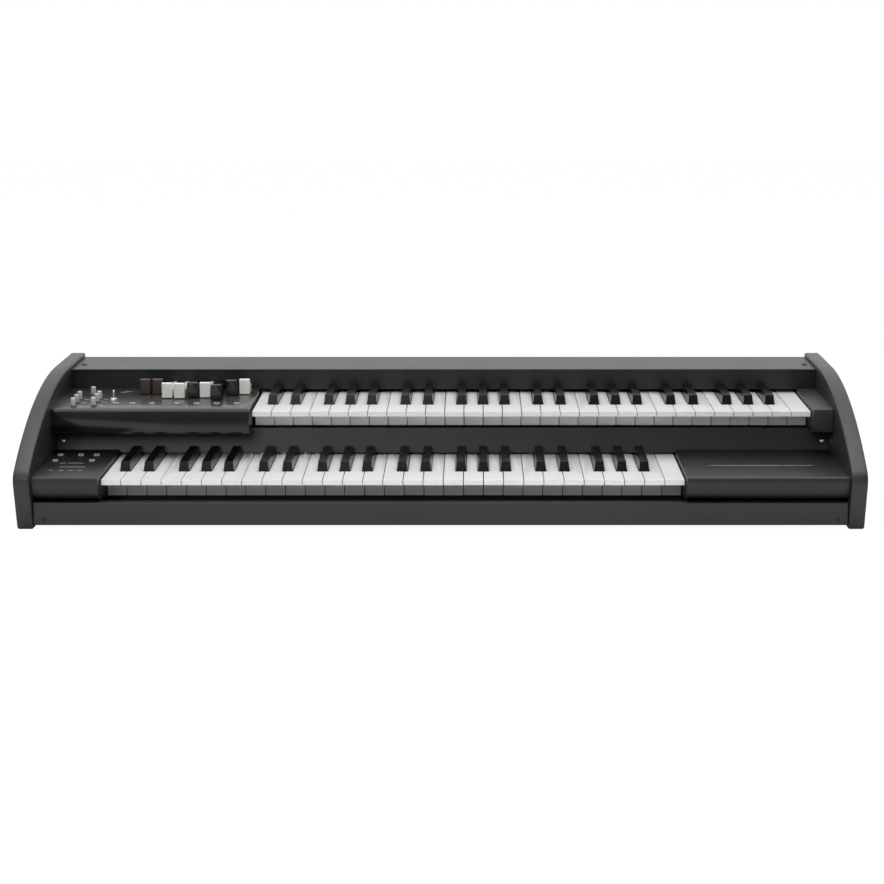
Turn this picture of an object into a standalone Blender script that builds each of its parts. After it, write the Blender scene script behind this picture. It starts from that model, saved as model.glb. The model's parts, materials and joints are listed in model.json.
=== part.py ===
"""Spinet organ: a compact drawbar organ with two offset manuals of 49 keys.

Lengths below are in millimetres and become metres when a shape is made. X runs along
the keys to the player's right, Y runs away from the player and Z is up. The origin is
at the bottom centre of the whole instrument.
"""
import math

import bmesh
import bpy
from mathutils import Matrix, Vector

MM = 0.001
GAP = 0.3

# Case
INNER = 475.0
PANEL_THICK = 19.0
BACK_Y = 186.0
TOP_Z = 150.5
CREST_Y = 80.0
CREST_RADIUS = 464.5
NOSE_Y = -186.0
NOSE_RADIUS = 18.0
FRONT_SLOPE = 14.0
PANEL_EDGE = 2.5
SIDE = INNER - GAP
FLOOR_GAP = 5.0
BASE_TOP = 15.0
RAIL_FRONT = -172.5
RAIL_THICK = 12.2
RAIL_TOP = 32.0
LID_Z = (142.0, 145.0)
LID_Y = (87.0, 184.4)
NAMEBOARD_Y = (90.0, 96.0)
NAMEBOARD_Z = (118.5, 141.7)
BOARD_LOW = (-20.7, 59.3)
BOARD_HIGH = (-11.6, 88.3)
BOARD_THICK = 5.0
BACK_PANEL_Y = (176.0, 184.0)

# Keys
PITCH = 23.5
NATURALS = 29
SLOT = 1.0
LOWER = {"x": -396.7, "y": -161.4, "z": 56.7, "skirt_y": 40.4, "skirt": 27.9, "cap_end": 139.0}
UPPER = {"x": -232.2, "y": -38.5, "z": 114.2, "skirt_y": 35.0, "skirt": 23.9, "cap_end": 127.0}
LIP = 6.3
SKIRT_THICK = 9.0
LEVER = 16.7
TAIL_Y = 188.0
TAIL_END = 209.0
PIVOT = (200.0, -6.4)
NATURAL_TAIL = (-12.7, -6.7)
SHARP_TAIL = (-6.1, -0.4)
SHARP_FRONT = 46.0
SHARP_RISE = 11.5
SHARP_LEAN = 2.5
SHARP_BASE = 6.3
SHARP_TOP = 4.9
SHARP_LEVER = 14.0
SHARP_SHIFT = {1: ("cs", -2.3), 2: ("ds", 2.3), 4: ("fs", -3.1), 5: ("gs", 0.0), 6: ("as", 3.1)}
NATURAL_NAMES = "cdefgab"

# Blocks beside the manuals
BLOCK_TOP = 63.2
BLOCK_FRONT = -177.4
BLOCK_BACK = -21.5
WALL = 2.5
LOWER_LEFT_X = (-SIDE, -397.6)
LOWER_RIGHT_X = (286.0, SIDE)
PANEL_TOP = 119.9
PANEL_FRONT = -51.8
PANEL_LOW = 88.6
PANEL_BACK = 89.0
SHEET = 2.0
UPPER_LEFT_X = (-SIDE, -234.5)
UPPER_RIGHT_X = (450.3, SIDE)

# Controls
BUTTON = 6.0
BUTTON_HOLE = 6.8
UPPER_BUTTONS = [(-401.0, -19.0), (-381.0, -19.0), (-357.0, -19.0), (-326.0, -19.0),
                 (-302.0, -19.0), (-277.5, -19.0), (-253.0, -19.0)]
LOWER_BUTTONS = [(-464.0, -87.0), (-464.0, -55.0), (-439.0, -55.0), (-420.0, -55.0), (-420.0, -87.0)]
KNOBS = [(-451.0, -31.0), (-451.0, -8.0), (-451.0, 13.0), (-427.0, -27.0), (-427.0, -2.0),
         (-427.0, 15.0), (-440.0, 46.0)]
KNOB_RADIUS = 3.3
KNOB_HEIGHT = 10.0
SHAFT_RADIUS = 1.5
TOGGLE = (-409.0, 12.0)
TOGGLE_PIVOT_Z = 118.9
TOGGLE_TILT = 12.0
DRAWBAR_FIRST_X = -374.6
DRAWBAR_PITCH = 15.6
DRAWBAR_FRONTS = [44.5, 44.5, 18.0, 15.5, 21.0, 21.0, 5.4, 37.0, 44.5]
CAP_WIDTH = 13.0
CAP_BASE_Z = 120.6
CAP_HEIGHT = 19.0
BAR_Z = (121.6, 128.6)
BAR_WIDTH = 5.0
BAR_LENGTH = 112.0
CHANNEL_CLEAR = 0.8

BLACK = (0.018, 0.018, 0.020)
parts = None
helpers = None


def clear_scene():
    """Remove every object that the open file holds."""
    for item in list(bpy.data.objects):
        bpy.data.objects.remove(item, do_unlink=True)


def make_collections():
    """One collection for the organ and one for the shapes that cut or join."""
    global parts, helpers
    parts = bpy.data.collections.new("spinet_organ")
    helpers = bpy.data.collections.new("cutters")
    bpy.context.scene.collection.children.link(parts)
    bpy.context.scene.collection.children.link(helpers)


def material(name, color, roughness, metallic=0.0):
    """A Principled material, made once for each name."""
    found = bpy.data.materials.get(name)
    if found:
        return found
    made = bpy.data.materials.new(name)
    made.use_nodes = True
    shader = made.node_tree.nodes["Principled BSDF"]
    shader.inputs["Base Color"].default_value = (*color, 1.0)
    shader.inputs["Roughness"].default_value = roughness
    shader.inputs["Metallic"].default_value = metallic
    return made


def add_object(name, mesh, finish):
    """Link a mesh as a named part, or as a helper when it has no finish."""
    item = bpy.data.objects.new(name, mesh)
    if finish is None:
        helpers.objects.link(item)
        item.hide_render = True
        item.display_type = "WIRE"
    else:
        parts.objects.link(item)
        mesh.materials.clear()
        mesh.materials.append(finish)
    return item


def boxes(name, corners, finish=None):
    """One or more boxes, each given by its low and high corner."""
    shape = bmesh.new()
    for low, high in corners:
        size = [(b - a) * MM for a, b in zip(low, high)]
        middle = Vector([(a + b) * 0.5 * MM for a, b in zip(low, high)])
        place = Matrix.Translation(middle) @ Matrix.Diagonal((*size, 1.0))
        bmesh.ops.create_cube(shape, size=1.0, matrix=place)
    mesh = bpy.data.meshes.new(name)
    shape.to_mesh(mesh)
    shape.free()
    return add_object(name, mesh, finish)


def cylinders(name, centres, radius, low, high, sides, finish=None):
    """Upright closed cylinders at the given (x, y) centres."""
    shape = bmesh.new()
    for x, y in centres:
        place = Matrix.Translation(Vector((x, y, (low + high) * 0.5)) * MM)
        bmesh.ops.create_cone(shape, cap_ends=True, segments=sides, radius1=radius * MM,
                              radius2=radius * MM, depth=(high - low) * MM, matrix=place)
    mesh = bpy.data.meshes.new(name)
    shape.to_mesh(mesh)
    shape.free()
    return add_object(name, mesh, finish)


FRAMES = {
    "X": Matrix(((0, 0, 1, 0), (1, 0, 0, 0), (0, 1, 0, 0), (0, 0, 0, 1))),
    "Y": Matrix(((1, 0, 0, 0), (0, 0, -1, 0), (0, 1, 0, 0), (0, 0, 0, 1))),
    "Z": Matrix.Identity(4),
}


def prism(name, outlines, axis, low, high, finish=None):
    """Flat outlines, filled on both sides and extruded along an axis from low to high."""
    curve = bpy.data.curves.new(name + "_outline", "CURVE")
    curve.dimensions = "2D"
    curve.fill_mode = "BOTH"
    curve.extrude = (high - low) * 0.5 * MM
    for outline in outlines:
        spline = curve.splines.new("POLY")
        spline.points.add(len(outline) - 1)
        for point, (u, v) in zip(spline.points, outline):
            point.co = (u * MM, v * MM, 0.0, 1.0)
        spline.use_cyclic_u = True
    guide = bpy.data.objects.new(name + "_outline", curve)
    helpers.objects.link(guide)
    bpy.context.view_layer.update()
    graph = bpy.context.evaluated_depsgraph_get()
    mesh = bpy.data.meshes.new_from_object(guide.evaluated_get(graph))
    bpy.data.objects.remove(guide)
    frame = FRAMES[axis].copy()
    middle = (low + high) * 0.5 * MM
    frame.translation = {"X": (middle, 0, 0), "Y": (0, middle, 0), "Z": (0, 0, middle)}[axis]
    mesh.transform(frame)
    shape = bmesh.new()
    shape.from_mesh(mesh)
    bmesh.ops.remove_doubles(shape, verts=shape.verts, dist=0.00001)
    bmesh.ops.recalc_face_normals(shape, faces=shape.faces)
    shape.to_mesh(mesh)
    shape.free()
    mesh.name = name
    return add_object(name, mesh, finish)


def turned(name, profile, steps, finish):
    """A profile of (radius, height) turned about Z with a Screw modifier."""
    mesh = bpy.data.meshes.new(name)
    points = [(r * MM, 0.0, z * MM) for r, z in profile]
    mesh.from_pydata(points, [(i, i + 1) for i in range(len(points) - 1)], [])
    item = add_object(name, mesh, finish)
    screw = item.modifiers.new("turn", "SCREW")
    screw.steps = steps
    screw.render_steps = steps
    screw.use_merge_vertices = True
    screw.merge_threshold = 0.00001
    screw.use_smooth_shade = True
    return item


def boolean(item, tool, operation):
    """Cut or join one part with a helper, with the exact solver."""
    step = item.modifiers.new(operation.lower(), "BOOLEAN")
    step.operation = operation
    step.object = tool
    step.solver = "EXACT"


def bevel(item, width, segments):
    """Round the sharp edges of a part."""
    step = item.modifiers.new("edges", "BEVEL")
    step.width = width * MM
    step.segments = segments
    step.limit_method = "ANGLE"
    step.angle_limit = math.radians(40)


def set_pivot(item, x, y, z):
    """Move the object's origin to a joint axis and leave its shape where it is."""
    point = Vector((x, y, z)) * MM
    item.data.transform(Matrix.Translation(-point))
    item.location = point


def end_panel_outline():
    """Side view of an end panel: flat crest, long arc, round nose and a slanted front."""
    crest_z = TOP_Z - CREST_RADIUS
    inner = CREST_RADIUS - NOSE_RADIUS
    nose_centre_y = NOSE_Y + NOSE_RADIUS
    turn = math.asin((CREST_Y - nose_centre_y) / inner)
    nose_centre_z = crest_z + inner * math.cos(turn)
    outline = [(BACK_Y, 0.0), (BACK_Y, TOP_Z)]
    arc_steps = 12
    for i in range(arc_steps + 1):
        angle = turn * i / arc_steps
        outline.append((CREST_Y - CREST_RADIUS * math.sin(angle),
                        crest_z + CREST_RADIUS * math.cos(angle)))
    nose_steps = 7
    start = math.pi / 2 + turn
    end = math.pi + math.radians(FRONT_SLOPE)
    for i in range(1, nose_steps + 1):
        angle = start + (end - start) * i / nose_steps
        outline.append((nose_centre_y + NOSE_RADIUS * math.cos(angle),
                        nose_centre_z + NOSE_RADIUS * math.sin(angle)))
    last_y, last_z = outline[-1]
    outline.append((last_y + last_z * math.tan(math.radians(FRONT_SLOPE)), 0.0))
    return outline


def make_case():
    """End panels, base, back, lid, boards and rail."""
    satin = material("black_satin", BLACK, 0.4)
    sheet = material("black_sheet", (0.025, 0.025, 0.027), 0.45, 0.3)
    outline = end_panel_outline()
    for name, low in (("left_end_panel", -INNER - PANEL_THICK), ("right_end_panel", INNER)):
        panel = prism(name, [outline], "X", low, low + PANEL_THICK, satin)
        bevel(panel, PANEL_EDGE, 2)
    boxes("base_board", [((-SIDE, -160.0, FLOOR_GAP), (SIDE, 175.7, BASE_TOP))], sheet)
    rail = boxes("front_rail", [((-SIDE, RAIL_FRONT, FLOOR_GAP),
                                 (SIDE, RAIL_FRONT + RAIL_THICK, RAIL_TOP))], satin)
    bevel(rail, 1.0, 2)
    lid = boxes("top_lid", [((-SIDE, LID_Y[0], LID_Z[0]), (SIDE, LID_Y[1], LID_Z[1]))], satin)
    bevel(lid, 0.9, 2)
    board = prism("middle_nameboard", [[BOARD_LOW, BOARD_HIGH,
                                        (BOARD_HIGH[0] + BOARD_THICK, BOARD_HIGH[1]),
                                        (BOARD_LOW[0] + BOARD_THICK, BOARD_LOW[1])]],
                  "X", -SIDE, SIDE, satin)
    board.data.name = "middle_nameboard"
    upper = boxes("upper_nameboard", [((-SIDE, NAMEBOARD_Y[0], NAMEBOARD_Z[0]),
                                       (SIDE, NAMEBOARD_Y[1], NAMEBOARD_Z[1]))], satin)
    slot = BAR_WIDTH / 2 + CHANNEL_CLEAR
    slots = [((x - slot, 80.0, BAR_Z[0] - CHANNEL_CLEAR), (x + slot, 110.0, BAR_Z[1] + CHANNEL_CLEAR))
             for x in drawbar_places()]
    boolean(upper, boxes("upper_nameboard_slots", slots), "DIFFERENCE")
    make_back(sheet)


def make_back(sheet):
    """Back panel with a socket opening and a row of vents, and the socket plate behind it."""
    back = boxes("back_panel", [((-SIDE, BACK_PANEL_Y[0], FLOOR_GAP),
                                 (SIDE, BACK_PANEL_Y[1], NAMEBOARD_Z[1]))], sheet)
    openings = [((200.0, 170.0, 38.0), (400.0, 190.0, 73.0))]
    vent_pitch, vent_width, vent_count = 14.0, 5.0, 12
    for i in range(vent_count):
        x = -330.0 + vent_pitch * i
        openings.append(((x, 170.0, 60.0), (x + vent_width, 190.0, 100.0)))
    boolean(back, boxes("back_panel_openings", openings), "DIFFERENCE")
    plate = boxes("socket_plate", [((190.0, 172.5, 28.0), (410.0, 175.7, 75.6))],
                  material("plate_black", (0.03, 0.03, 0.032), 0.5, 0.5))
    jack_xs = [295.0, 320.0, 345.0, 370.0]
    bodies = [((212.0, 148.0, 46.0), (244.0, 173.5, 74.0))]
    bodies += [((x - 8.0, 150.0, 52.0), (x + 8.0, 173.5, 68.0)) for x in jack_xs]
    boolean(plate, boxes("socket_bodies", bodies), "UNION")
    holes = [((216.0, 154.0, 51.0), (240.0, 180.0, 69.0)), ((255.0, 165.0, 49.0), (269.0, 180.0, 71.0))]
    boolean(plate, boxes("socket_holes", holes), "DIFFERENCE")
    jack_outlines = [[(x + 3.4 * math.cos(math.tau * i / 12), 60.0 + 3.4 * math.sin(math.tau * i / 12))
                      for i in range(12)] for x in jack_xs]
    boolean(plate, prism("jack_bores", jack_outlines, "Y", 153.0, 185.0), "DIFFERENCE")
    rocker_tilt = math.radians(-8.0)
    rocker = boxes("power_switch", [((-6.0, -3.0, -9.5), (6.0, 8.0, 9.5))],
                   material("switch_black", (0.02, 0.02, 0.02), 0.3))
    rocker.data.transform(Matrix.Rotation(rocker_tilt, 4, "X"))
    rocker.location = Vector((262.0, 171.0, 60.0)) * MM


def block_outline():
    """Side view of the blocks beside the lower manual: flat top and a front that curves under."""
    top = [(BLOCK_BACK, BLOCK_TOP), (BLOCK_FRONT + 3.0, BLOCK_TOP), (BLOCK_FRONT + 1.0, 62.3),
           (BLOCK_FRONT, 60.2)]
    under = [(-177.0, 54.0), (-175.2, 47.5), (-171.6, 41.0), (-166.0, 35.5)]
    foot = [(-158.0, 35.5), (-158.0, BASE_TOP + GAP), (BLOCK_BACK, BASE_TOP + GAP)]
    return top + under + foot


def block_cavity():
    """The hollow under a lower block, open below and behind."""
    return [(0.0, 60.7), (-173.6, 60.7), (-174.9, 59.4), (-174.4, 54.0), (-172.8, 48.4),
            (-169.4, 42.6), (-163.6, 37.4), (-162.0, 10.0), (0.0, 10.0)]


def make_lower_blocks():
    """The control block and the cheek block, each a shell with one closed side."""
    satin = material("black_satin", BLACK, 0.4)
    left = prism("lower_control_block", [block_outline()], "X", *LOWER_LEFT_X, satin)
    hollow = prism("lower_control_hollow", [block_cavity()], "X", -500.0, LOWER_LEFT_X[1] - WALL)
    boolean(left, hollow, "DIFFERENCE")
    half = BUTTON_HOLE / 2
    holes = [((x - half, y - half, 59.0), (x + half, y + half, 70.0)) for x, y in LOWER_BUTTONS]
    boolean(left, boxes("lower_button_holes", holes), "DIFFERENCE")
    right = prism("lower_cheek_block", [block_outline()], "X", *LOWER_RIGHT_X, satin)
    hollow = prism("lower_cheek_hollow", [block_cavity()], "X", LOWER_RIGHT_X[0] + WALL, 500.0)
    boolean(right, hollow, "DIFFERENCE")


def upper_outline():
    """Side view of the upper control panel and cheek block."""
    return [(PANEL_BACK, PANEL_TOP), (PANEL_FRONT + 3.5, PANEL_TOP), (PANEL_FRONT + 1.0, 118.9),
            (PANEL_FRONT, 116.4), (PANEL_FRONT, 91.6), (PANEL_FRONT + 3.0, PANEL_LOW),
            (PANEL_BACK, PANEL_LOW)]


def upper_cavity():
    """The hollow behind the folded sheet of the upper control panel."""
    top, low, front = PANEL_TOP - SHEET, PANEL_LOW + SHEET, PANEL_FRONT + SHEET
    return [(100.0, top), (front + 1.8, top), (front, top - 1.8), (front, low + 1.4),
            (front + 1.4, low), (100.0, low)]


def make_upper_blocks():
    """The folded control panel with its holes, and the small cheek block on the right."""
    sheet = material("panel_grey", (0.10, 0.095, 0.09), 0.35, 0.6)
    panel = prism("upper_control_panel", [upper_outline()], "X", *UPPER_LEFT_X, sheet)
    hollow = prism("upper_control_hollow", [upper_cavity()], "X", -500.0, UPPER_LEFT_X[1] - WALL)
    boolean(panel, hollow, "DIFFERENCE")
    half = BUTTON_HOLE / 2
    holes = [((x - half, y - half, 116.0), (x + half, y + half, 125.0)) for x, y in UPPER_BUTTONS]
    boolean(panel, boxes("upper_button_holes", holes), "DIFFERENCE")
    boolean(panel, cylinders("knob_holes", KNOBS, 2.2, 116.0, 125.0, 12), "DIFFERENCE")
    boolean(panel, cylinders("toggle_hole", [TOGGLE], 3.4, 116.0, 125.0, 12), "DIFFERENCE")
    prism("upper_cheek_block", [upper_outline()], "X", *UPPER_RIGHT_X,
          material("black_satin", BLACK, 0.4))


def gap_x(manual, index):
    """The line between natural index - 1 and natural index."""
    return manual["x"] + PITCH * index


def sharp_at(index):
    """Name and sideways shift of the sharp over gap index, or None between E-F and B-C."""
    return SHARP_SHIFT.get(index % 7)


def naturals(name, manual, first, last):
    """Naturals first to last - 1, cut from one long extrusion and joined at the tail."""
    y0, z0 = manual["y"], manual["z"]
    side = [(0.0, 0.0), (0.0, -LIP), (manual["skirt_y"], -LIP), (manual["skirt_y"], -manual["skirt"]),
            (manual["skirt_y"] + SKIRT_THICK, -manual["skirt"]),
            (manual["skirt_y"] + SKIRT_THICK + 6.0, -LEVER), (TAIL_Y, -LEVER),
            (TAIL_Y, NATURAL_TAIL[0]), (TAIL_END, NATURAL_TAIL[0]), (TAIL_END, NATURAL_TAIL[1]),
            (TAIL_Y, NATURAL_TAIL[1]), (TAIL_Y, 0.0)]
    ivory = material("ivory_keys", (0.82, 0.82, 0.79), 0.25)
    comb = prism(name, [[(y0 + y, z0 + z) for y, z in side]], "X",
                 gap_x(manual, first) + GAP / 2, gap_x(manual, last) - GAP / 2, ivory)
    slots = []
    half = SLOT / 2
    notch = SHARP_BASE + half
    slot_end = y0 + TAIL_Y + 1.5
    for index in range(first, last + 1):
        x = gap_x(manual, index)
        sharp = sharp_at(index)
        if sharp is None or index in (0, NATURALS):
            slots.append([(x - half, y0 - 3.0), (x + half, y0 - 3.0), (x + half, slot_end), (x - half, slot_end)])
            continue
        middle = x + sharp[1]
        step = y0 + SHARP_FRONT - 1.0
        slots.append([(x - half, y0 - 3.0), (x + half, y0 - 3.0), (x + half, step), (middle + notch, step),
                      (middle + notch, slot_end), (middle - notch, slot_end), (middle - notch, step),
                      (x - half, step)])
    boolean(comb, prism(name + "_slots", slots, "Z", z0 - 40.0, z0 + 10.0), "DIFFERENCE")
    set_pivot(comb, 0.0, y0 + PIVOT[0], z0 + PIVOT[1])


def sharps(name, manual, gaps):
    """The sharps over the listed gaps, with sloping sides, joined at the tail."""
    y0, z0 = manual["y"], manual["z"]
    side = [(SHARP_FRONT, -SHARP_LEVER), (SHARP_FRONT, 0.0), (SHARP_FRONT + SHARP_LEAN, SHARP_RISE),
            (manual["cap_end"], SHARP_RISE), (manual["cap_end"], SHARP_TAIL[1]), (TAIL_END, SHARP_TAIL[1]),
            (TAIL_END, SHARP_TAIL[0]), (TAIL_Y + 0.7, SHARP_TAIL[0]), (TAIL_Y + 0.7, -SHARP_LEVER)]
    middles = [gap_x(manual, index) + sharp_at(index)[1] for index in gaps]
    spare = SHARP_BASE + GAP
    comb = prism(name, [[(y0 + y, z0 + z) for y, z in side]], "X", middles[0] - spare,
                 middles[-1] + spare, material("black_keys", (0.012, 0.012, 0.014), 0.3))
    low, high = z0 - 20.0, z0 + 16.0
    top_half = SHARP_BASE - (SHARP_BASE - SHARP_TOP) * 16.0 / SHARP_RISE
    edges = [None] + middles + [None]
    cuts = []
    for left, right in zip(edges[:-1], edges[1:]):
        a = middles[0] - 12.0 if left is None else left + SHARP_BASE
        b = middles[-1] + 12.0 if right is None else right - SHARP_BASE
        a_top = a if left is None else left + top_half
        b_top = b if right is None else right - top_half
        cuts.append([(a, low), (b, low), (b, z0), (b_top, high), (a_top, high), (a, z0)])
    boolean(comb, prism(name + "_gaps", cuts, "Y", y0 + 40.0, y0 + TAIL_Y + 1.5), "DIFFERENCE")
    set_pivot(comb, 0.0, y0 + PIVOT[0], z0 + PIVOT[1])


def sharp_gaps(first, last):
    """Gap numbers between first and last that carry a sharp."""
    return [i for i in range(first + 1, last) if sharp_at(i) is not None]


def make_keys():
    """Lower manual in two banks round one octave of single keys; upper manual in two banks."""
    naturals("lower_naturals_low", LOWER, 0, 14)
    sharps("lower_sharps_low", LOWER, sharp_gaps(0, 14))
    for step in range(7):
        naturals("lower_key_" + NATURAL_NAMES[step] + "3", LOWER, 14 + step, 15 + step)
    for index in sharp_gaps(14, 21):
        sharps("lower_key_" + sharp_at(index)[0] + "3", LOWER, [index])
    naturals("lower_naturals_high", LOWER, 21, NATURALS)
    sharps("lower_sharps_high", LOWER, sharp_gaps(21, NATURALS))
    naturals("upper_naturals_low", UPPER, 0, 14)
    sharps("upper_sharps_low", UPPER, sharp_gaps(0, 14))
    naturals("upper_naturals_high", UPPER, 14, NATURALS)
    sharps("upper_sharps_high", UPPER, sharp_gaps(14, NATURALS))


def key_frame(name, manual, plate_z, front, back, x_range, stop_top):
    """A sheet steel tray with a stop rail, two board ribs and a hinge rail at the pivot."""
    y0, z0 = manual["y"], manual["z"]
    low, top = plate_z
    rib_top = top + 4.4
    outline = [(front, low), (back, low), (back, top)]
    for middle, height in ((y0 + PIVOT[0], z0 + NATURAL_TAIL[0] - GAP), (y0 + 154.0, rib_top),
                           (y0 + 112.0, rib_top), (y0 + 58.4, stop_top)):
        outline += [(middle + 1.5, top), (middle + 1.5, height), (middle - 1.5, height), (middle - 1.5, top)]
    outline.append((front, top))
    steel = material("zinc_steel", (0.55, 0.56, 0.57), 0.4, 0.9)
    prism(name, [outline], "X", *x_range, steel)
    green = material("board_green", (0.03, 0.16, 0.06), 0.5)
    x_low = manual["x"] + 2.0
    x_high = manual["x"] + PITCH * NATURALS - 2.0
    boxes(name.replace("key_frame", "contact_board"),
          [((x_low, y0 + 108.0, rib_top + GAP), (x_high, y0 + 158.0, rib_top + GAP + 1.6))], green)


def make_inside():
    """Key frames, boards and power supply."""
    key_frame("lower_key_frame", LOWER, (BASE_TOP + GAP, BASE_TOP + GAP + SHEET), -150.0, 46.0,
              (LOWER_LEFT_X[1] + GAP, LOWER_RIGHT_X[0] - GAP), 30.0)
    key_frame("upper_key_frame", UPPER, (76.0, 78.0), 0.0, 175.7, (-SIDE, SIDE), 87.0)
    green = material("board_green", (0.03, 0.16, 0.06), 0.5)
    board_low = PANEL_LOW + SHEET + GAP
    board = boxes("control_board", [((-470.0, -45.0, board_low), (-242.0, 80.0, board_low + 1.6))], green)
    controls = [((x - 4.5, y - 4.5, board_low + 1.0), (x + 4.5, y + 4.5, 112.6)) for x, y in KNOBS + [TOGGLE]]
    boolean(board, boxes("control_bodies", controls), "UNION")
    main = boxes("main_board", [((-180.0, 60.0, 21.0), (20.0, 165.0, 22.6))], green)
    posts = [(-174.0, 66.0), (14.0, 66.0), (-174.0, 159.0), (14.0, 159.0)]
    boolean(main, cylinders("main_posts", posts, 3.0, BASE_TOP + GAP, 21.8, 8), "UNION")
    chips = [((-120.0, 90.0, 22.0), (-92.0, 118.0, 25.5)), ((-60.0, 95.0, 22.0), (-44.0, 111.0, 25.0)),
             ((-20.0, 130.0, 22.0), (10.0, 142.0, 31.0)), ((-160.0, 130.0, 22.0), (-150.0, 140.0, 34.0)),
             ((-80.0, 125.0, 22.0), (-30.0, 158.0, 44.0))]
    boolean(main, boxes("main_chips", chips), "UNION")
    unit = boxes("drawbar_unit", [((-386.0, 97.0, 82.7), (-238.0, 157.0, 138.0))],
                 material("supply_steel", (0.6, 0.6, 0.6), 0.4, 0.9))
    half = BAR_WIDTH / 2 + CHANNEL_CLEAR
    channels = [((x - half, 90.0, BAR_Z[0] - CHANNEL_CLEAR), (x + half, 165.0, BAR_Z[1] + CHANNEL_CLEAR))
                for x in drawbar_places()]
    boolean(unit, boxes("drawbar_channels", channels), "DIFFERENCE")


def drawbar_places():
    """Centre of each drawbar from left to right."""
    return [DRAWBAR_FIRST_X + DRAWBAR_PITCH * i for i in range(len(DRAWBAR_FRONTS))]


def make_drawbars():
    """Nine drawbars at the pulls that the photo shows: a cap with a heel, and a flat bar."""
    brown = material("cap_brown", (0.10, 0.055, 0.04), 0.35)
    white = material("cap_white", (0.85, 0.85, 0.82), 0.3)
    black = material("cap_black", (0.015, 0.015, 0.018), 0.3)
    colours = [brown, brown, white, white, black, white, black, black, white]
    top = CAP_BASE_Z + CAP_HEIGHT
    for i, (x, front, finish) in enumerate(zip(drawbar_places(), DRAWBAR_FRONTS, colours)):
        side = [(front - 0.8, CAP_BASE_Z), (front, CAP_BASE_Z + 6.0), (front, top - 1.0), (front + 1.0, top),
                (front + 3.6, top), (front + 4.6, top - 1.0), (front + 5.4, CAP_BASE_Z + 11.0),
                (front + 20.0, CAP_BASE_Z + 10.0), (front + 20.0, CAP_BASE_Z)]
        cap = prism("drawbar_%d" % (i + 1), [side], "X", x - CAP_WIDTH / 2, x + CAP_WIDTH / 2, finish)
        bar = boxes("drawbar_%d_bar" % (i + 1), [((x - BAR_WIDTH / 2, front + 15.0, BAR_Z[0]),
                                                  (x + BAR_WIDTH / 2, front + BAR_LENGTH, BAR_Z[1]))])
        boolean(cap, bar, "UNION")
        set_pivot(cap, x, front, CAP_BASE_Z)


def button_strip(name, places, margin, top, base):
    """A rubber mat with one square cap for each button, in one piece."""
    xs = [x for x, _ in places]
    ys = [y for _, y in places]
    rubber = material("button_grey", (0.45, 0.45, 0.44), 0.5)
    mat = boxes(name, [((min(xs) - margin, min(ys) - margin, base), (max(xs) + margin, max(ys) + margin, base + 2.0))],
                rubber)
    half = BUTTON / 2
    caps = [((x - half, y - half, base + 1.0), (x + half, y + half, top)) for x, y in places]
    boolean(mat, boxes(name + "_caps", caps), "UNION")


def make_small_controls():
    """Knobs, toggle lever and the two button strips."""
    grey = material("knob_grey", (0.55, 0.55, 0.54), 0.35)
    base = PANEL_TOP + 0.5
    top = base + KNOB_HEIGHT
    profile = [(0.0, top), (KNOB_RADIUS - 0.5, top), (KNOB_RADIUS, top - 0.5), (KNOB_RADIUS, base),
               (SHAFT_RADIUS, base), (SHAFT_RADIUS, 113.2), (0.0, 113.2)]
    for i, (x, y) in enumerate(KNOBS):
        knob = turned("knob_%d" % (i + 1), profile, 12, grey)
        knob.location = Vector((x, y, 0.0)) * MM
    lever = [(0.0, 12.5), (1.1, 12.0), (1.5, 10.8), (0.9, 2.0), (1.9, 1.0), (2.1, 0.0), (1.9, -1.0),
             (1.0, -2.0), (0.0, -2.0)]
    toggle = turned("toggle_lever", lever, 12, material("bright_metal", (0.75, 0.72, 0.62), 0.2, 1.0))
    toggle.location = Vector((*TOGGLE, TOGGLE_PIVOT_Z)) * MM
    toggle.rotation_euler = (math.radians(-TOGGLE_TILT), 0.0, 0.0)
    button_strip("upper_buttons", UPPER_BUTTONS, 5.0, 121.4, 112.0)
    button_strip("lower_buttons", LOWER_BUTTONS, 4.0, 64.7, 55.0)


clear_scene()
make_collections()
make_case()
make_lower_blocks()
make_upper_blocks()
make_keys()
make_inside()
make_drawbars()
make_small_controls()
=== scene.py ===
# %% [markdown]
# # A two-manual drawbar organ
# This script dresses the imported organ. The construction comes in as a fixed frame, and each
# cell below adds one finish or one fine piece, says what it is on the real instrument and why
# it is made the way it is. The frame's own axes are used throughout. The pieces' sizes are
# written in millimetres and turned into metres by MM. The camera, the floor and the lamps are
# placed in metres.

# %% Load the frame
import json
import math

import bmesh
import bpy
import numpy as np
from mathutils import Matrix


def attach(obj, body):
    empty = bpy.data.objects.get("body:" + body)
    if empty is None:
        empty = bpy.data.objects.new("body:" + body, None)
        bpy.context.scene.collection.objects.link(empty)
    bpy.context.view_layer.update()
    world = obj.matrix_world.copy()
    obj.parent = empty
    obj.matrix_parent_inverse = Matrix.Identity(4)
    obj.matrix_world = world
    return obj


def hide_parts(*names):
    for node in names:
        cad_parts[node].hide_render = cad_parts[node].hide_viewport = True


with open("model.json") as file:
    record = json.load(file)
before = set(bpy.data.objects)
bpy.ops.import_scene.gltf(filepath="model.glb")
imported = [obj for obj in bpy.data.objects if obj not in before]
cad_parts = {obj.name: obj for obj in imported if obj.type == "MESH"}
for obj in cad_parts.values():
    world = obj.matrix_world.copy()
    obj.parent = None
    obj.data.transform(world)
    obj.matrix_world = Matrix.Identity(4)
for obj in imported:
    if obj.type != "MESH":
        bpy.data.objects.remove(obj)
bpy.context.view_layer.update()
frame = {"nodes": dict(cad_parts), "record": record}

MM = 0.001
nodes = frame["nodes"]
body_of = {n: b for b, listed in frame["record"]["behaviour"]["bodies"].items() for n in listed}
slot_of = {row["node"]: row["material_slot"] for row in frame["record"]["subparts"]}

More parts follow.
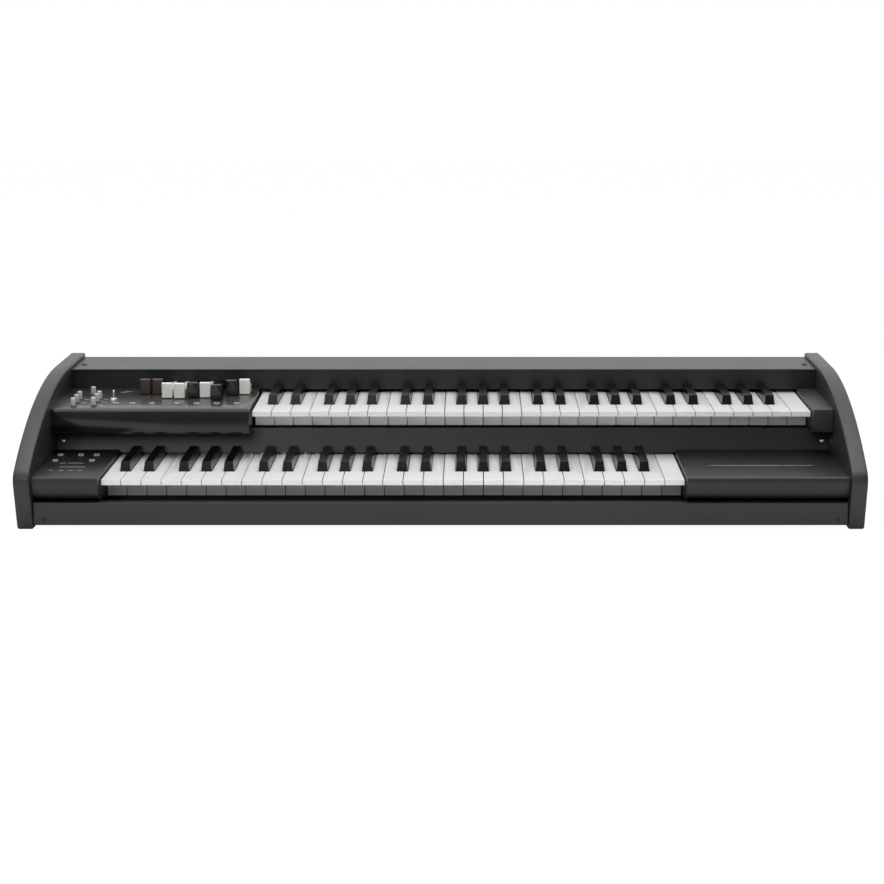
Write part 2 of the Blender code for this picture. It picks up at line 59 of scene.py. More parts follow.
# %% [markdown]
# ## Camera
# The gaps between the keys all meet at one vanishing point, a little right of the picture's
# middle. That gives the tilt and the small sideways shift. The distance follows from the
# spacing of the keys, and the focal length from how little the upright edges lean.

# %% Camera
SENSOR = 36.0
FRAME_PX = 884.0
FOCAL_PX = 2050.0
AXIS_PX = 475.7
LOOKS_DOWN = 11.79
CAMERA_SPOT = (0.0407, -2.4916, 0.5883)
camera_data = bpy.data.cameras.new("camera")
camera_data.sensor_width = SENSOR
camera_data.lens = SENSOR * FOCAL_PX / FRAME_PX
camera_data.shift_x = (FRAME_PX / 2 - AXIS_PX) / FRAME_PX
camera = bpy.data.objects.new("camera", camera_data)
camera.location = CAMERA_SPOT
camera.rotation_euler = (math.radians(90.0 - LOOKS_DOWN), 0.0, 0.0)
bpy.context.scene.collection.objects.link(camera)
bpy.context.scene.camera = camera
print("camera: lens", round(camera_data.lens, 2), "mm, shift", round(camera_data.shift_x, 4))

# %% [markdown]
# ## Grain group
# Paint, moulded plastic and powder coat all have a fine unevenness that breaks up reflections.
# One node group makes it from two noises and hands out a normal and a roughness, so that each
# material only says how coarse, how deep and how glossy it is.

# %% Grain group
BROAD_SCALE = 14.0
GRAIN_DEPTH = 0.0002
grain = bpy.data.node_groups.new("surface_grain", "ShaderNodeTree")
for label, value in (("Scale", 900.0), ("Depth", 0.1), ("Roughness", 0.4), ("Variation", 0.08)):
    socket = grain.interface.new_socket(label, in_out="INPUT", socket_type="NodeSocketFloat")
    socket.default_value = value
grain.interface.new_socket("Normal", in_out="OUTPUT", socket_type="NodeSocketVector")
grain.interface.new_socket("Roughness", in_out="OUTPUT", socket_type="NodeSocketFloat")
grain.interface.new_socket("Mask", in_out="OUTPUT", socket_type="NodeSocketFloat")


def add(tree, kind, **settings):
    """Add a shader node and set its plain properties."""
    node = tree.nodes.new(kind)
    for key, value in settings.items():
        setattr(node, key, value)
    return node


g_in = add(grain, "NodeGroupInput")
g_out = add(grain, "NodeGroupOutput")
place = add(grain, "ShaderNodeTexCoord")
fine = add(grain, "ShaderNodeTexNoise")
broad = add(grain, "ShaderNodeTexNoise")
broad.inputs["Scale"].default_value = BROAD_SCALE
bump = add(grain, "ShaderNodeBump")
bump.inputs["Distance"].default_value = GRAIN_DEPTH
centred = add(grain, "ShaderNodeMath", operation="SUBTRACT")
centred.inputs[1].default_value = 0.5
spread = add(grain, "ShaderNodeMath", operation="MULTIPLY_ADD")
for source, target in (
        (place.outputs["Object"], fine.inputs["Vector"]),
        (place.outputs["Object"], broad.inputs["Vector"]),
        (g_in.outputs["Scale"], fine.inputs["Scale"]),
        (fine.outputs["Fac"], bump.inputs["Height"]),
        (g_in.outputs["Depth"], bump.inputs["Strength"]),
        (broad.outputs["Fac"], centred.inputs[0]),
        (centred.outputs[0], spread.inputs[0]),
        (g_in.outputs["Variation"], spread.inputs[1]),
        (g_in.outputs["Roughness"], spread.inputs[2]),
        (bump.outputs["Normal"], g_out.inputs["Normal"]),
        (spread.outputs[0], g_out.inputs["Roughness"]),
        (broad.outputs["Fac"], g_out.inputs["Mask"])):
    grain.links.new(source, target)
print("grain group:", len(grain.nodes), "nodes")

# %% [markdown]
# ## Materials
# Each finish is a Principled shader fed by the grain group. Its colour runs between two close
# tones along the broad noise, as real paint and plastic do, and a constant value such as the
# coat or the metal share sits on the shader itself. The steel of the key frames is painted much
# darker than bare steel as painted shade, for the black band of shade below the lower key fronts.

# %% Materials
RAMP_ENDS = (0.3, 0.7)
materials = {}


def finish(name, dark, light, rough, scale=900.0, depth=0.1, variation=0.08, metallic=0.0,
           coat=0.0, specular=0.5):
    """A procedural finish: two close tones, fine grain and an uneven gloss."""
    made = bpy.data.materials.new(name)
    made.use_nodes = True
    tree = made.node_tree
    shader = tree.nodes["Principled BSDF"]
    group = add(tree, "ShaderNodeGroup", node_tree=grain)
    for label, value in (("Scale", scale), ("Depth", depth), ("Roughness", rough),
                         ("Variation", variation)):
        group.inputs[label].default_value = value
    ramp = add(tree, "ShaderNodeValToRGB")
    for element, position, tone in zip(ramp.color_ramp.elements, RAMP_ENDS, (dark, light)):
        element.position = position
        element.color = (*tone, 1.0)
    tree.links.new(group.outputs["Mask"], ramp.inputs["Fac"])
    tree.links.new(ramp.outputs["Color"], shader.inputs["Base Color"])
    tree.links.new(group.outputs["Roughness"], shader.inputs["Roughness"])
    tree.links.new(group.outputs["Normal"], shader.inputs["Normal"])
    shader.inputs["Metallic"].default_value = metallic
    shader.inputs["Coat Weight"].default_value = coat
    shader.inputs["Specular IOR Level"].default_value = specular
    materials[name] = made


finish("black_satin", (0.015, 0.015, 0.016), (0.020, 0.020, 0.022), rough=0.42, scale=1500, depth=0.12)
finish("black_sheet", (0.006, 0.006, 0.007), (0.009, 0.009, 0.010), rough=0.40, scale=2200)
finish("panel_grey", (0.022, 0.020, 0.019), (0.028, 0.026, 0.025), rough=0.24, scale=2600, depth=0.05,
       variation=0.05)
# Painted shade: this steel is nearly black to stand in for the shade below the fronts of the lower keys.
finish("zinc_steel", (0.040, 0.040, 0.043), (0.055, 0.055, 0.058), rough=0.35, scale=300, depth=0.05,
       variation=0.15, metallic=0.9)
finish("board_green", (0.025, 0.14, 0.05), (0.035, 0.18, 0.07), rough=0.5, scale=700, depth=0.05)
finish("ivory_keys", (0.86, 0.86, 0.845), (0.89, 0.89, 0.875), rough=0.24, scale=700, depth=0.02,
       variation=0.06, coat=0.2)
finish("black_keys", (0.002, 0.002, 0.003), (0.003, 0.003, 0.004), rough=0.22, depth=0.04, specular=0.32)
finish("cap_brown", (0.030, 0.016, 0.012), (0.042, 0.023, 0.017), rough=0.22, scale=800, depth=0.02)
finish("cap_white", (0.80, 0.79, 0.75), (0.84, 0.83, 0.79), rough=0.24, scale=700, depth=0.03)
finish("cap_black", (0.002, 0.002, 0.003), (0.003, 0.003, 0.004), rough=0.16, scale=800, depth=0.02)
finish("knob_grey", (0.46, 0.46, 0.45), (0.54, 0.54, 0.53), rough=0.30, depth=0.05)
finish("button_grey", (0.34, 0.34, 0.33), (0.42, 0.42, 0.41), rough=0.45, scale=1200, depth=0.12)
finish("bright_metal", (0.72, 0.70, 0.62), (0.82, 0.80, 0.72), rough=0.16, scale=600, depth=0.02,
       variation=0.06, metallic=1.0)
finish("switch_black", (0.016, 0.016, 0.017), (0.022, 0.022, 0.023), rough=0.3, depth=0.05)
finish("unit_plastic", (0.045, 0.045, 0.05), (0.055, 0.055, 0.06), rough=0.5)
finish("foot_rubber", (0.018, 0.018, 0.018), (0.028, 0.028, 0.028), rough=0.75, depth=0.3)
finish("print_light", (0.42, 0.42, 0.43), (0.50, 0.50, 0.51), rough=0.5, scale=1500, depth=0.02)
finish("lens_dark", (0.012, 0.010, 0.010), (0.020, 0.016, 0.016), rough=0.12, depth=0.01,
       variation=0.02, coat=0.3)
for name, item in nodes.items():
    item.data.materials.clear()
    item.data.materials.append(materials[slot_of[name]])
print("materials:", len(materials))

# %% [markdown]
# ## Making pieces
# Every new piece is a mesh at the origin. A turned piece is a profile of radius and height swept
# round an axis: the grid's two parameters are the place along the profile and the angle. A soft
# copy is one of the frame's own solids with its points merged and its edges rounded.

# %% Mesh helpers
MERGE_DISTANCE = 0.00001
FLAT_WITHIN = math.radians(0.5)
SHARP_FROM = math.radians(40.0)
pieces = {}


def piece(name, points, faces, slot, body, smooth_angle=35.0):
    """Make a mesh piece from arrays, give it its finish and let it ride."""
    mesh = bpy.data.meshes.new(name)
    mesh.from_pydata([tuple(p) for p in points.tolist()], [], faces)
    mesh.validate()
    mesh.materials.append(materials[slot])
    made = bpy.data.objects.new(name, mesh)
    bpy.context.scene.collection.objects.link(made)
    mesh.shade_smooth()
    mesh.set_sharp_from_angle(angle=math.radians(smooth_angle))
    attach(made, body)
    pieces[name] = made
    return made


def tilt_about_x(degrees):
    """Rotation matrix about X as a numpy array."""
    c, s = math.cos(math.radians(degrees)), math.sin(math.radians(degrees))
    return np.array([[1, 0, 0], [0, c, -s], [0, s, c]])


def swept_rings(rows, segments, wave=1.0):
    """Point = (r cos t, r sin t, z) for each row (r, z); wave scales r at each angle."""
    t = np.arange(segments) * math.tau / segments
    radius = rows[:, :1] * wave
    height = np.repeat(rows[:, 1:2], segments, axis=1)
    return np.stack([radius * np.cos(t), radius * np.sin(t), height], axis=-1).reshape(-1, 3)


def turned_arrays(profile, segments, flute=0.0, flutes=0):
    """A solid turned about Z, where (r, z) runs along the profile from top to bottom.

    The radius is drawn in by flute * (1 - cos(flutes t)) / 2 where flutes are asked for.
    """
    rows = np.asarray(profile, dtype=float)
    t = np.arange(segments) * math.tau / segments
    wave = 1.0 - flute * (0.5 - 0.5 * np.cos(flutes * t))
    points = swept_rings(rows, segments, wave[None, :] if flutes else 1.0) * MM
    i, j = np.meshgrid(np.arange(len(rows) - 1), np.arange(segments), indexing="ij")
    a = (i * segments + j).ravel()
    b = (i * segments + (j + 1) % segments).ravel()
    faces = np.stack([a, a + segments, b + segments, b], axis=-1).tolist()
    faces.append(list(range(segments)))
    last = (len(rows) - 1) * segments
    faces.append(list(range(last + segments - 1, last - 1, -1)))
    return points, faces


def soft_copy(node, width, segments=2):
    """A copy of a frame node with merged points and rounded edges, which stands for it."""
    mesh = bpy.data.meshes.new(node + "_soft")
    shape = bmesh.new()
    shape.from_mesh(nodes[node].data)
    bmesh.ops.remove_doubles(shape, verts=shape.verts, dist=MERGE_DISTANCE)
    bmesh.ops.dissolve_limit(shape, angle_limit=FLAT_WITHIN, verts=shape.verts, edges=shape.edges)
    shape.to_mesh(mesh)
    shape.free()
    mesh.materials.clear()
    mesh.materials.append(materials[slot_of[node]])
    mesh.shade_smooth()
    mesh.set_sharp_from_angle(angle=SHARP_FROM)
    made = bpy.data.objects.new(node + "_soft", mesh)
    bpy.context.scene.collection.objects.link(made)
    edge = made.modifiers.new("edges", "BEVEL")
    edge.width = width * MM
    edge.segments = segments
    edge.limit_method = "ANGLE"
    edge.angle_limit = SHARP_FROM
    edge.harden_normals = True
    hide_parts(node)
    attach(made, body_of[node])
    pieces[made.name] = made


# %% [markdown]
# ## Keys, caps and buttons
# Moulded keys have softened edges, about half a millimetre on a natural and more on a sharp,
# that catch the light in thin bright lines. The drawbar caps are rounder still, and the blocks
# and the control panel have tighter edges. The bevelled copy stands for the solid, so a key still
# fits its slot and tips on its hinge. The panel's front faces get the darker, glossier black of the
# caps as painted shade, standing in for the shade under the panel's front edge.

# %% Keys, caps and buttons
NATURAL_EDGE = 0.55
SHARP_EDGE = 0.9
CAP_EDGE = 1.6
BUTTON_EDGE = 0.5
BLOCK_EDGE = 0.35
PAINTED_SHADE_NORMAL_Y = -0.8
BLOCK_NODES = ("lower_control_block", "lower_cheek_block", "upper_cheek_block", "upper_control_panel")
for name in nodes:
    if slot_of[name] == "ivory_keys":
        soft_copy(name, NATURAL_EDGE)
    elif slot_of[name] == "black_keys":
        soft_copy(name, SHARP_EDGE, 3)
    elif name.startswith("drawbar_") and name != "drawbar_unit":
        soft_copy(name, CAP_EDGE, 3)
    elif name in ("upper_buttons", "lower_buttons"):
        soft_copy(name, BUTTON_EDGE)
    elif name in BLOCK_NODES:
        soft_copy(name, BLOCK_EDGE)
# Painted shade: faces that face forward get the darker cap black, standing in for the shade under the
# panel's front edge.
panel_mesh = pieces["upper_control_panel_soft"].data
panel_mesh.materials.append(materials["cap_black"])
for face in panel_mesh.polygons:
    if face.normal.y < PAINTED_SHADE_NORMAL_Y:
        face.material_index = 1
print("soft copies:", len(pieces))

# %% [markdown]
# ## End panels
# The end panels are board with a rounded edge all round. The outline is sampled finely, and at
# each sample the edge profile steps from one face to the other: the outline moves inwards by
# r (1 - sin a) while the face moves outwards by r (1 - cos a), a quarter circle on each side.

# %% End panels
INNER = 475.0
THICK = 19.0
BACK = 186.0
TOP = 150.5
CREST_Y = 80.0
ARC_RADIUS = 464.5
NOSE_Y = -186.0
NOSE_RADIUS = 18.0
SLOPE = math.radians(14.0)
EDGE = 2.4
CORNER = 4.0
ARC_SAMPLES = 60
NOSE_SAMPLES = 24
CORNER_SAMPLES = 8
EDGE_SAMPLES = 6


def circle_run(start, end, samples):
    """Unit vectors in (y, z) from one angle to another."""
    angle = np.linspace(start, end, samples)
    return np.stack([np.cos(angle), np.sin(angle)], 1)


def panel_outline():
    """Side view in (y, z) with the outward normal at each sample, as two arrays.

    The long arc starts level at the crest and meets the nose's small circle without a kink: the
    nose's centre lies ARC_RADIUS - NOSE_RADIUS from the arc's centre. Below the nose the front
    slopes back to the foot.
    """
    arc_z = TOP - ARC_RADIUS
    inner = ARC_RADIUS - NOSE_RADIUS
    centre_y = NOSE_Y + NOSE_RADIUS
    turn = math.asin((CREST_Y - centre_y) / inner)
    centre_z = arc_z + inner * math.cos(turn)
    a = np.linspace(0.0, turn, ARC_SAMPLES)
    arc = np.stack([CREST_Y - ARC_RADIUS * np.sin(a), arc_z + ARC_RADIUS * np.cos(a)], 1)
    arc_n = np.stack([-np.sin(a), np.cos(a)], 1)
    nose_n = circle_run(math.pi / 2 + turn, math.pi + SLOPE, NOSE_SAMPLES)[1:]
    nose = np.array([centre_y, centre_z]) + NOSE_RADIUS * nose_n
    drop = nose[-1, 1] - CORNER * (1 + math.sin(SLOPE))
    slide = drop * math.tan(SLOPE)
    foot_centre = np.array([nose[-1, 0] + slide + CORNER * math.cos(SLOPE), CORNER])
    foot_n = circle_run(math.pi + SLOPE, 1.5 * math.pi, CORNER_SAMPLES)
    parts = [(arc, arc_n), (nose, nose_n), (foot_centre + CORNER * foot_n, foot_n)]
    for z, start, end in ((CORNER, 1.5 * math.pi, 2 * math.pi), (TOP - CORNER, 0.0, 0.5 * math.pi)):
        n = circle_run(start, end, CORNER_SAMPLES)
        parts.append((np.array([BACK - CORNER, z]) + CORNER * n, n))
    return np.concatenate([p for p, _ in parts]), np.concatenate([n for _, n in parts])


outline, normals = panel_outline()
quarter = np.linspace(0.0, math.pi / 2, EDGE_SAMPLES)
inset = EDGE * (1 - np.sin(quarter))
across = EDGE * (1 - np.cos(quarter))
insets = np.concatenate([inset, inset[::-1]])
xs = np.concatenate([across, THICK - across[::-1]])
count = len(outline)
for name, low in (("left_end_panel", -INNER - THICK), ("right_end_panel", INNER)):
    ring = outline[None, :, :] - normals[None, :, :] * insets[:, None, None]
    sides = np.broadcast_to(low + xs[:, None, None], (len(xs), count, 1))
    points = np.concatenate([sides, ring], axis=2)
    i, j = np.meshgrid(np.arange(len(xs) - 1), np.arange(count), indexing="ij")
    a = (i * count + j).ravel()
    b = (i * count + (j + 1) % count).ravel()
    faces = np.stack([a, b, b + count, a + count], axis=-1).tolist()
    faces.append(list(range(count - 1, -1, -1)))
    faces.append(list(range((len(xs) - 1) * count, len(xs) * count)))
    made = piece(name + "_rounded", points.reshape(-1, 3) * MM, faces, "black_satin", "case", 30.0)
    shape = bmesh.new()
    shape.from_mesh(made.data)
    bmesh.ops.recalc_face_normals(shape, faces=shape.faces)
    shape.to_mesh(made.data)
    shape.free()
    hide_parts(name)
print("end panels:", count, "outline samples each")

# %% [markdown]
# ## Knobs and toggle
# The small controls are turned shapes: a fluted grey knob on each rotary shaft and a bat toggle
# with a hexagon nut and a washer. One profile each is enough, because a lathe shape shows the
# same line from every side.

# %% Knobs and toggle
KNOB_XY = [(-451, -31), (-451, -8), (-451, 13), (-427, -27), (-427, -2), (-427, 15), (-440, 46)]
KNOB_PROFILE = [(0.4, 10.0), (2.2, 10.0), (2.75, 9.8), (3.0, 9.3), (3.1, 8.6), (3.25, 0.9), (3.2, 0.5),
                (1.5, 0.5), (1.5, -6.0), (0.4, -6.0)]
KNOB_SEGMENTS = 48
FLUTE_DEPTH = 0.05
FLUTES = 12
PANEL_TOP = 119.9
for i, (x, y) in enumerate(KNOB_XY):
    node = "knob_%d" % (i + 1)
    points, faces = turned_arrays(KNOB_PROFILE, KNOB_SEGMENTS, FLUTE_DEPTH, FLUTES)
    points = points + np.array([x, y, PANEL_TOP]) * MM
    made = piece(node + "_turned", points, faces, "knob_grey", body_of[node], 45.0)
    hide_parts(node)

TOGGLE = np.array([-409.0, 12.0, 118.9])
TOGGLE_LEAN = -12.0
LEVER_PROFILE = [(0.3, 12.5), (1.1, 12.2), (1.5, 11.3), (1.5, 10.4), (1.2, 8.0), (0.85, 3.0), (0.9, 2.0),
                 (1.9, 1.0), (2.1, 0.0), (1.9, -1.0), (0.9, -2.0), (0.3, -2.0)]
NUT_PROFILE = [(3.0, 0.1), (3.0, 1.6), (3.5, 1.8), (4.2, 1.6), (4.4, 1.2), (4.4, 0.1)]
WASHER_PROFILE = [(4.0, 0.02), (4.0, 0.5), (5.2, 0.5), (5.2, 0.02)]
points, faces = turned_arrays(LEVER_PROFILE, 24)
points = points @ tilt_about_x(TOGGLE_LEAN).T + TOGGLE * MM
made = piece("toggle_lever_turned", points, faces, "bright_metal", body_of["toggle_lever"])
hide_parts("toggle_lever")


def washer(name, profile, x, y, z, segments, slot, body="case"):
    """A closed ring: the profile's ends are joined, so the hole stays open."""
    rows = np.asarray(profile, dtype=float)
    points = swept_rings(rows, segments)
    n = len(rows)
    i, j = np.meshgrid(np.arange(n), np.arange(segments), indexing="ij")
    a = (i * segments + j).ravel()
    b = (i * segments + (j + 1) % segments).ravel()
    c = (((i + 1) % n) * segments + (j + 1) % segments).ravel()
    d = (((i + 1) % n) * segments + j).ravel()
    faces = np.stack([a, b, c, d], axis=-1).tolist()
    return piece(name, (points + np.array([x, y, z])) * MM, faces, slot, body)


washer("toggle_nut", NUT_PROFILE, TOGGLE[0], TOGGLE[1], PANEL_TOP, 6, "bright_metal")
washer("toggle_washer", WASHER_PROFILE, TOGGLE[0], TOGGLE[1], PANEL_TOP, 32, "bright_metal")
print("turned controls:", len(KNOB_XY) + 1)

# %% [markdown]
# ## Screws and feet
# Pan-head screws hold the lid, the middle board, the rail, the socket plate and the back panel,
# and four rubber feet stand under the base board. The photo shows the screws of the lid and of
# the middle board. The others and the feet are guessed.

# %% Screws and feet
HEAD_PROFILE = [(0.4, 0.5), (1.5, 0.5), (1.7, 1.5), (2.4, 1.45), (3.3, 1.15), (3.9, 0.6), (4.0, 0.05),
                (0.4, 0.02)]
FOOT_PROFILE = [(0.4, 4.9), (9.5, 4.9), (10.0, 4.4), (9.0, 0.4), (8.6, 0.02), (0.4, 0.02)]
FOOT_XY = ((-440.0, -130.0), (440.0, -130.0), (-440.0, 140.0), (440.0, 140.0))
LID_SCREW = (465.0, 122.0, 145.0)
BOARD_SCREW = (468.0, -16.4, 73.5)
BOARD_LEAN = 72.6
RAIL_SCREW = (462.0, -172.5, 12.0)
PLATE_SCREW_XZ = ((205.0, 55.5), (395.0, 55.5))
PLATE_FACE = 175.75
BACK_SCREW_X = (-455.0, -150.0, 150.0, 455.0)
BACK_SCREW_Z = (14.0, 132.0)
BACK_FACE = 184.0


def screw(name, x, y, z, tilt, slot, size=1.0):
    """A pan-head screw with a recess, turned about its axis and tilted about X."""
    points, faces = turned_arrays([(r * size, h * size) for r, h in HEAD_PROFILE], 28)
    points = points @ tilt_about_x(tilt).T + np.array([x, y, z]) * MM
    return piece(name, points, faces, slot, "case")


for side, tag in ((-1, "left"), (1, "right")):
    screw("lid_screw_" + tag, side * LID_SCREW[0], LID_SCREW[1], LID_SCREW[2], 0.0, "cap_black")
    screw("board_screw_" + tag, side * BOARD_SCREW[0], BOARD_SCREW[1], BOARD_SCREW[2], BOARD_LEAN,
          "bright_metal", 0.75)
    screw("rail_screw_" + tag, side * RAIL_SCREW[0], RAIL_SCREW[1], RAIL_SCREW[2], 90.0, "cap_black", 0.6)
for i, (x, y) in enumerate(FOOT_XY):
    points, faces = turned_arrays(FOOT_PROFILE, 32)
    piece("rubber_foot_%d" % (i + 1), points + np.array([x, y, 0.0]) * MM, faces, "foot_rubber", "case")
for x, z in PLATE_SCREW_XZ:
    screw("plate_screw_%d" % int(x), x, PLATE_FACE, z, -90.0, "bright_metal", 0.6)
for i, x in enumerate(BACK_SCREW_X):
    for j, z in enumerate(BACK_SCREW_Z):
        screw("back_screw_%d_%d" % (i + 1, j + 1), x, BACK_FACE, z, -90.0, "cap_black", 0.45)
print("screws and feet placed")

# %% [markdown]
# ## Printed marks and button lenses
# The print is plain and has no letters: short dashes beside the knobs and buttons, a line and a
# few dashes on the left block, and one line on the right block where the photo shows a script.
# Each mark is a thin rounded bar an eighth of a millimetre thick, so it reads as print and still
# exports as a shape. A button's dark lens is a low pillow: its height falls as
# (1 - u^4)(1 - v^4) towards the edges.

# %% Printed marks and lenses
LENS_HALF = 1.3
LENS_HEIGHT = 0.25
UPPER_LENS_Z = 121.38
LOWER_LENS_Z = 64.68
MARK_HEIGHT = 0.1
RIM_HEIGHT = 0.02
BLOCK_TOP = 63.2
UPPER_BUTTON_X = (-401.0, -381.0, -357.0, -326.0, -302.0, -277.5, -253.0)
UPPER_BUTTON_Y = -19.0
LOWER_BUTTONS = [(-464.0, -87.0), (-464.0, -55.0), (-439.0, -55.0), (-420.0, -55.0), (-420.0, -87.0)]
KNOB_MARK_REACH = 7.0
KNOB_MARK_ANGLES = (-50.0, 0.0, 50.0)
JACK_PROFILE = [(2.2, 0.02), (2.2, 0.9), (3.6, 0.9), (4.0, 0.02)]


def pillow(name, x, y, z, half_x, half_y, height, slot, body, n=9):
    """Closed low pillow with its flat base at z, over a grid of n by n samples."""
    u, v = np.meshgrid(np.linspace(-1, 1, n), np.linspace(-1, 1, n), indexing="ij")
    top = (1 - u ** 4) * (1 - v ** 4) * height + RIM_HEIGHT
    upper = np.stack([x + u * half_x, y + v * half_y, z + top], -1).reshape(-1, 3)
    lower = np.stack([x + u * half_x, y + v * half_y, np.full_like(u, z)], -1).reshape(-1, 3)
    i, j = np.meshgrid(np.arange(n - 1), np.arange(n - 1), indexing="ij")
    a = (i * n + j).ravel()
    up = np.stack([a, a + n, a + n + 1, a + 1], -1)
    rim = np.concatenate([np.arange(n), np.arange(1, n) * n + n - 1,
                          n * (n - 1) + np.arange(n - 2, -1, -1), np.arange(n - 2, 0, -1) * n])
    nxt = np.roll(rim, -1)
    wall = np.stack([rim, nxt, nxt + n * n, rim + n * n], -1)
    faces = up.tolist() + (up[:, ::-1] + n * n).tolist() + wall.tolist()
    return piece(name, np.concatenate([upper, lower]) * MM, faces, slot, body)


def mark(name, x, y, z, half_x, half_y):
    """One printed bar on the case."""
    return pillow(name, x, y, z, half_x, half_y, MARK_HEIGHT, "print_light", "case", 5)


for i, x in enumerate(UPPER_BUTTON_X):
    pillow("upper_lens_%d" % (i + 1), x, UPPER_BUTTON_Y, UPPER_LENS_Z, LENS_HALF, LENS_HALF, LENS_HEIGHT,
           "lens_dark", body_of["upper_buttons"])
for i, (x, y) in enumerate(LOWER_BUTTONS):
    pillow("lower_lens_%d" % (i + 1), x, y, LOWER_LENS_Z, LENS_HALF, LENS_HALF, LENS_HEIGHT,
           "lens_dark", body_of["lower_buttons"])
for i, (x, y) in enumerate(KNOB_XY):
    for j, angle in enumerate(KNOB_MARK_ANGLES):
        dx = KNOB_MARK_REACH * math.sin(math.radians(angle))
        dy = KNOB_MARK_REACH * math.cos(math.radians(angle))
        mark("knob_mark_%d_%d" % (i + 1, j + 1), x + dx, y + dy, PANEL_TOP, 0.9, 0.35)
    mark("knob_dash_%d" % (i + 1), x + 9.0, y - 2.0, PANEL_TOP, 3.4, 0.45)
for i, x in enumerate(UPPER_BUTTON_X):
    mark("button_dash_%d" % (i + 1), x + 0.5, UPPER_BUTTON_Y + 7.5, PANEL_TOP, 3.0, 0.45)
mark("socket_mark", -399.0, 66.0, PANEL_TOP, 5.0, 0.6)
mark("socket_mark_side", -404.5, 60.0, PANEL_TOP, 4.2, 0.6)
washer("panel_jack", JACK_PROFILE, -396.0, 57.0, PANEL_TOP, 32, "switch_black")
mark("left_block_line", -436.5, -120.0, BLOCK_TOP, 15.5, 0.5)
for i, (x, half) in enumerate(((-459.0, 2.2), (-447.0, 3.0), (-436.0, 3.0), (-425.0, 3.0))):
    mark("left_block_dash_%d" % (i + 1), x, -139.0, BLOCK_TOP, half, 0.8)
for i, (x, half) in enumerate(((-452.0, 4.0), (-437.0, 9.0))):
    mark("left_block_note_%d" % (i + 1), x, -99.0, BLOCK_TOP, half, 0.6)
mark("right_block_line", 380.0, -112.0, BLOCK_TOP, 62.0, 0.5)
print("marks and lenses placed")

# %% [markdown]
# ## Stage and light
# The photo is a studio cut-out: white all round, soft light from above and a paler sweep behind
# that glances off the lid. The world is plain white to the camera. To the object it grows
# brighter from the front to the back. To the camera the floor is nine parts white glow and one
# part pale matt surface, which keeps a faint shadow. To every other ray it is matt alone.

# %% World
DIFFUSE_SWEEP = (-0.55, 0.35, 0.16, 0.62)
GLOSSY_SWEEP = (-0.2, 0.6, 0.30, 1.05)
world = bpy.data.worlds.new("studio")
bpy.context.scene.world = world
world.use_nodes = True
tree = world.node_tree
back = tree.nodes["Background"]
back.inputs["Color"].default_value = (1.0, 1.0, 1.0, 1.0)
path = add(tree, "ShaderNodeLightPath")
seen = add(tree, "ShaderNodeMath", operation="MAXIMUM")
around = add(tree, "ShaderNodeTexCoord")
split = add(tree, "ShaderNodeSeparateXYZ")
tree.links.new(around.outputs["Generated"], split.inputs[0])


def strength_sweep(front_y, rear_y, front, rear):
    """World strength that runs from front to rear as a ray's Y direction does."""
    sweep = add(tree, "ShaderNodeMapRange")
    sweep.inputs["From Min"].default_value = front_y
    sweep.inputs["From Max"].default_value = rear_y
    sweep.inputs["To Min"].default_value = front
    sweep.inputs["To Max"].default_value = rear
    tree.links.new(split.outputs["Y"], sweep.inputs["Value"])
    return sweep


diffuse = strength_sweep(*DIFFUSE_SWEEP)
glossy = strength_sweep(*GLOSSY_SWEEP)
level = add(tree, "ShaderNodeMix")
white = add(tree, "ShaderNodeMix")
white.inputs["B"].default_value = 1.0
tree.links.new(path.outputs["Is Glossy Ray"], seen.inputs[0])
tree.links.new(path.outputs["Is Transmission Ray"], seen.inputs[1])
tree.links.new(seen.outputs[0], level.inputs["Factor"])
tree.links.new(diffuse.outputs["Result"], level.inputs["A"])
tree.links.new(glossy.outputs["Result"], level.inputs["B"])
tree.links.new(level.outputs["Result"], white.inputs["A"])
tree.links.new(path.outputs["Is Camera Ray"], white.inputs["Factor"])
tree.links.new(white.outputs["Result"], back.inputs["Strength"])
print("world ready")

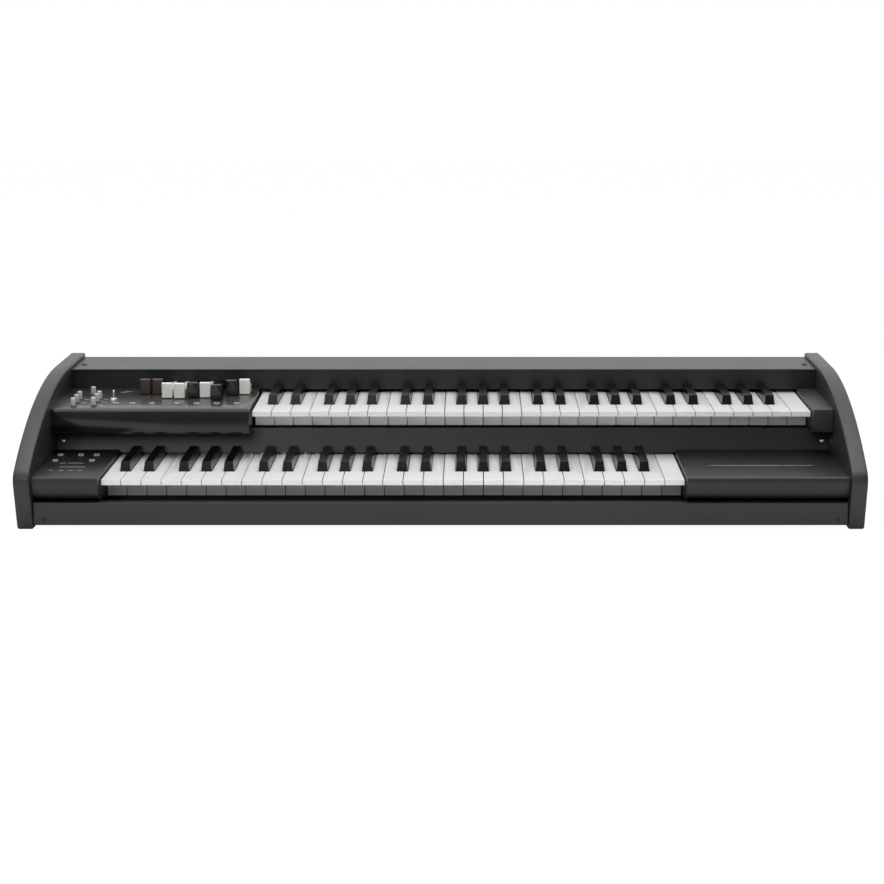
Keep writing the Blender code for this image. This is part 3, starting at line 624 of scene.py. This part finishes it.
# %% Floor and lamps
FLOOR_HALF = 6
FLOOR_TONE = 0.9
FLOOR_ROUGHNESS = 0.9
GLOW_STRENGTH = 1.06
GLOW_SHARE = 0.9
LAMPS = (("top_light", (0.0, -0.3, 2.2), 2.6, 52.0, (0.0, 0.0, 0.0)),
         ("front_light", (-0.8, -3.2, 1.8), 1.8, 22.0, (math.radians(62), 0.0, -0.24)))
floor_mesh = bpy.data.meshes.new("floor")
floor_corners = [(x * FLOOR_HALF, y * FLOOR_HALF, 0) for x, y in ((-1, -1), (1, -1), (1, 1), (-1, 1))]
floor_mesh.from_pydata(floor_corners, [], [(0, 1, 2, 3)])
floor = bpy.data.objects.new("floor", floor_mesh)
bpy.context.scene.collection.objects.link(floor)
floor_material = bpy.data.materials.new("floor_white")
floor_material.use_nodes = True
tree = floor_material.node_tree
shader = tree.nodes["Principled BSDF"]
shader.inputs["Base Color"].default_value = (FLOOR_TONE, FLOOR_TONE, FLOOR_TONE, 1.0)
shader.inputs["Roughness"].default_value = FLOOR_ROUGHNESS
glow = add(tree, "ShaderNodeEmission")
glow.inputs["Strength"].default_value = GLOW_STRENGTH
mix = add(tree, "ShaderNodeMixShader")
path = add(tree, "ShaderNodeLightPath")
share = add(tree, "ShaderNodeMath", operation="MULTIPLY")
share.inputs[1].default_value = GLOW_SHARE
tree.links.new(path.outputs["Is Camera Ray"], share.inputs[0])
tree.links.new(share.outputs[0], mix.inputs["Fac"])
tree.links.new(shader.outputs["BSDF"], mix.inputs[1])
tree.links.new(glow.outputs["Emission"], mix.inputs[2])
tree.links.new(mix.outputs["Shader"], tree.nodes["Material Output"].inputs["Surface"])
floor_mesh.materials.append(floor_material)

for name, spot, size, power, turn in LAMPS:
    lamp_data = bpy.data.lights.new(name, "AREA")
    lamp_data.size = size
    lamp_data.energy = power
    lamp = bpy.data.objects.new(name, lamp_data)
    lamp.location = spot
    lamp.rotation_euler = turn
    bpy.context.scene.collection.objects.link(lamp)
bpy.context.scene.view_settings.view_transform = "Standard"
print("stage and lamps ready")
